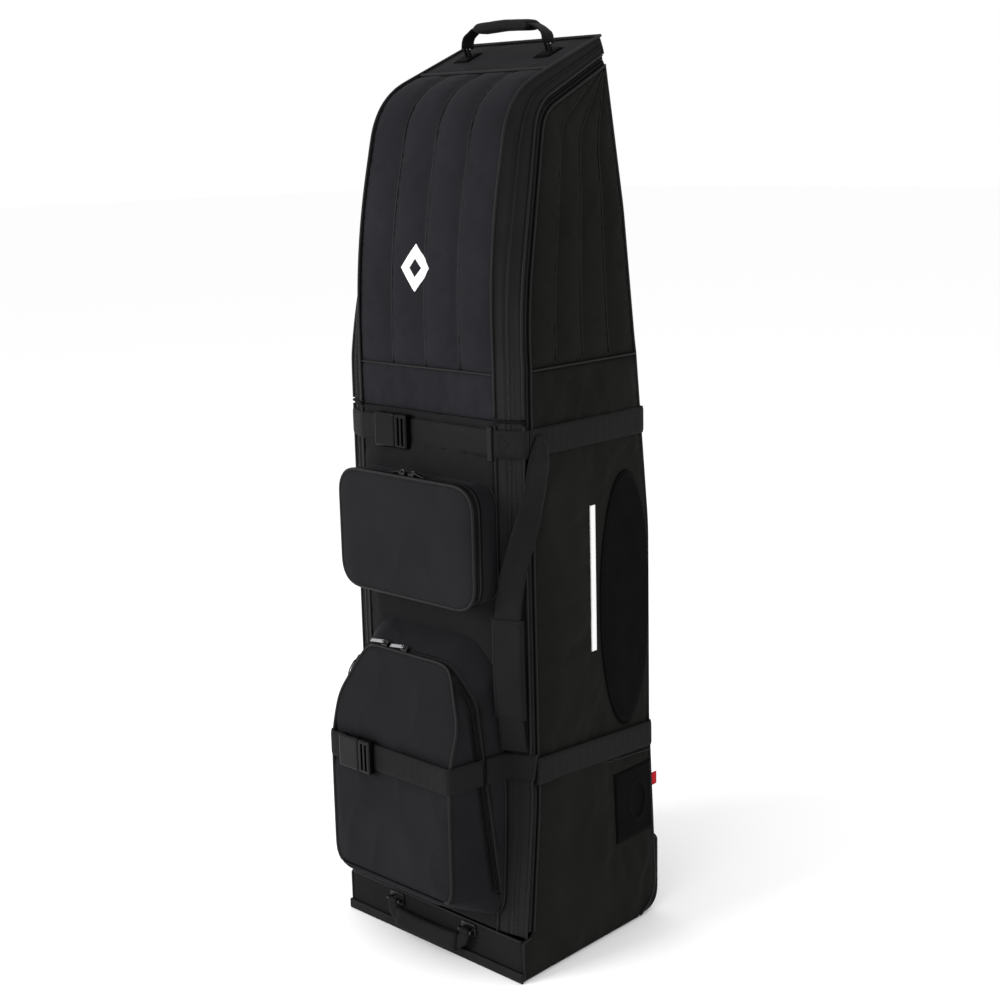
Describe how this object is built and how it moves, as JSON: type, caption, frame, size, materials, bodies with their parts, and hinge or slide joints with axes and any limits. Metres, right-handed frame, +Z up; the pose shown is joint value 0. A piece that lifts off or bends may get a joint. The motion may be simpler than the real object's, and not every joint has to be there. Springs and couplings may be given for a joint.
{
  "type": "golf travel case",
  "caption": "Soft upright wheeled travel case for a golf bag, with a quilted head cover, zipped front, two pockets, compression straps and grab handles.",
  "frame": {"origin": "centre of the base's flat underside, on the floor", "axes": "+Z up along the case, -Y towards the pockets, +X to the right seen from the front"},
  "size_m": [0.357, 0.4001, 1.3065],
  "materials": {
    "shell_cloth": "plain weave polyester, slight sheen",
    "quilted_cloth": "channel-quilted polyester over foam",
    "band_cloth": "ribbed zip gusset",
    "pocket_cloth": "fine twill polyester",
    "zip_tape": "coil zip tape",
    "webbing": "woven webbing",
    "padded_grip": "padded grip cloth",
    "rubberised_patch": "smooth coated abrasion cloth",
    "moulded_black": "moulded, fine texture",
    "buckle_gloss": "glossy acetal",
    "wheel_rubber": "urethane tread",
    "wheel_hub_grey": "moulded hub",
    "bright_steel": "bright",
    "dark_metal": "gunmetal",
    "bright_pull": "satin nickel",
    "red_cloth": "folded red loop"
  },
  "bodies": {
    "case": {"base_tray": "moulded_black", "base_front_panel": "shell_cloth", "base_bumper": "moulded_black", "side_panel_left": "shell_cloth", "side_panel_right": "shell_cloth", "head_side_left": "quilted_cloth", "head_side_right": "quilted_cloth", "back_panel": "shell_cloth", "wheel_housing_left": "moulded_black", "wheel_housing_right": "moulded_black", "wheel_axles": "bright_steel", "wheel_bearings": "bright_steel", "kick_plate": "moulded_black", "case_zip_tape": "zip_tape", "upper_strap_back": "webbing", "lower_strap_back": "webbing", "wear_patches": "rubberised_patch", "corner_patches": "rubberised_patch", "red_tag": "red_cloth", "inner_cinch_strap": "webbing", "bottom_handle_plates": "bright_steel"},
    "main_zip_slider": {"main_slider": "dark_metal"},
    "main_zip_pull": {"main_pull": "dark_metal"},
    "wheel_left": {"wheel_hub_left": "wheel_hub_grey", "wheel_tyre_left": "wheel_rubber"},
    "wheel_right": {"wheel_hub_right": "wheel_hub_grey", "wheel_tyre_right": "wheel_rubber"},
    "front_cover": {"front_panel": "shell_cloth", "front_bands": "band_cloth", "front_zip_tape": "zip_tape", "cover_webbing": "webbing", "strap_keeper": "moulded_black", "upper_pocket_shell": "pocket_cloth", "lower_pocket_gusset": "pocket_cloth", "upper_buckle_socket": "buckle_gloss"},
    "head_cover": {"head_front_panel": "quilted_cloth", "top_panel": "shell_cloth", "head_bands": "band_cloth", "head_zip_tape": "zip_tape", "top_handle_patches": "rubberised_patch"},
    "top_handle": {"top_handle_grip": "padded_grip", "top_handle_webbing": "webbing"},
    "bottom_handle": {"bottom_handle_grip": "padded_grip", "bottom_handle_webbing": "webbing"},
    "carry_handle": {"carry_wrap": "padded_grip", "carry_webbing": "webbing"},
    "upper_strap_plug": {"upper_buckle_plug": "buckle_gloss"},
    "upper_pocket_flap": {"upper_pocket_lid": "pocket_cloth"},
    "lower_pocket_flap": {"lower_pocket_lid": "pocket_cloth", "lower_strap_front": "webbing", "lower_buckle_socket": "buckle_gloss"},
    "lower_strap_plug": {"lower_buckle_plug": "buckle_gloss"},
    "upper_left_zip_slider": {"upper_left_slider": "dark_metal"},
    "upper_left_zip_pull": {"upper_left_pull": "dark_metal"},
    "upper_right_zip_slider": {"upper_right_slider": "dark_metal"},
    "upper_right_zip_pull": {"upper_right_pull": "dark_metal"},
    "lower_left_zip_slider": {"lower_left_slider": "dark_metal"},
    "lower_left_zip_pull": {"lower_left_pull": "bright_pull"},
    "lower_right_zip_slider": {"lower_right_slider": "dark_metal"},
    "lower_right_zip_pull": {"lower_right_pull": "bright_pull"}
  },
  "joints": [
    {"name": "front_cover_fold", "type": "hinge", "parent": "case", "child": "front_cover", "pos_m": [0, -0.146, 0.064], "axis": [1, 0, 0], "range_deg": [0, 75]},
    {"name": "head_cover_fold", "type": "hinge", "parent": "front_cover", "child": "head_cover", "pos_m": [0, -0.1285, 0.785], "axis": [1, 0, 0], "range_deg": [0, 105]},
    {"name": "top_handle_swing", "type": "hinge", "parent": "head_cover", "child": "top_handle", "pos_m": [0, 0.05, 1.271], "axis": [1, 0, 0], "range_deg": [-30, 65]},
    {"name": "bottom_handle_swing", "type": "hinge", "parent": "case", "child": "bottom_handle", "pos_m": [0, -0.156, 0.049], "axis": [1, 0, 0], "range_deg": [-90, 0]},
    {"name": "carry_handle_lift", "type": "hinge", "parent": "front_cover", "child": "carry_handle", "pos_m": [0.134, -0.142, 0.53], "axis": [0, 0, -1], "range_deg": [0, 70]},
    {"name": "upper_pocket_open", "type": "hinge", "parent": "front_cover", "child": "upper_pocket_flap", "pos_m": [0, -0.1662, 0.532], "axis": [1, 0, 0], "range_deg": [0, 110]},
    {"name": "lower_pocket_open", "type": "hinge", "parent": "front_cover", "child": "lower_pocket_flap", "pos_m": [0, -0.222, 0.12615], "axis": [1, 0, 0], "range_deg": [0, 95]},
    {"name": "wheel_left_spin", "type": "hinge", "parent": "case", "child": "wheel_left", "pos_m": [-0.1485, 0.127, 0.037], "axis": [1, 0, 0], "continuous": true},
    {"name": "wheel_right_spin", "type": "hinge", "parent": "case", "child": "wheel_right", "pos_m": [0.1485, 0.127, 0.037], "axis": [1, 0, 0], "continuous": true},
    {"name": "upper_buckle_release", "type": "slide", "parent": "front_cover", "child": "upper_strap_plug", "axis": [1, 0, 0], "range_m": [0, 0.045]},
    {"name": "lower_buckle_release", "type": "slide", "parent": "lower_pocket_flap", "child": "lower_strap_plug", "axis": [1, 0, 0], "range_m": [0, 0.045]},
    {"name": "main_zip_travel", "type": "slide", "parent": "case", "child": "main_zip_slider", "axis": [1, 0, 0], "range_m": [-0.09, 0.09]},
    {"name": "main_pull_swing", "type": "hinge", "parent": "main_zip_slider", "child": "main_zip_pull", "pos_m": [0, 0.11417, 1.24854], "axis": [1, 0, 0], "range_deg": [0, 120]},
    {"name": "upper_left_zip_travel", "type": "slide", "parent": "front_cover", "child": "upper_left_zip_slider", "axis": [-1, 0, 0], "range_m": [0, 0.075]},
    {"name": "upper_right_zip_travel", "type": "slide", "parent": "front_cover", "child": "upper_right_zip_slider", "axis": [1, 0, 0], "range_m": [0, 0.075]},
    {"name": "upper_left_pull_swing", "type": "hinge", "parent": "upper_left_zip_slider", "child": "upper_left_zip_pull", "pos_m": [-0.0099, -0.166, 0.7082], "axis": [0, 1, 0], "range_deg": [0, 100]},
    {"name": "upper_right_pull_swing", "type": "hinge", "parent": "upper_right_zip_slider", "child": "upper_right_zip_pull", "pos_m": [0.0099, -0.166, 0.7082], "axis": [0, -1, 0], "range_deg": [0, 100]},
    {"name": "lower_left_zip_travel", "type": "slide", "parent": "front_cover", "child": "lower_left_zip_slider", "axis": [-1, 0, 0], "range_m": [0, 0.008]},
    {"name": "lower_right_zip_travel", "type": "slide", "parent": "front_cover", "child": "lower_right_zip_slider", "axis": [1, 0, 0], "range_m": [0, 0.045]},
    {"name": "lower_left_pull_swing", "type": "hinge", "parent": "lower_left_zip_slider", "child": "lower_left_zip_pull", "pos_m": [-0.0469, -0.17945, 0.46071], "axis": [0, 0.866, 0.5], "range_deg": [0, 100]},
    {"name": "lower_right_pull_swing", "type": "hinge", "parent": "lower_right_zip_slider", "child": "lower_right_zip_pull", "pos_m": [-0.0069, -0.17945, 0.46071], "axis": [0, 0.866, 0.5], "range_deg": [0, 100]}
  ]
}
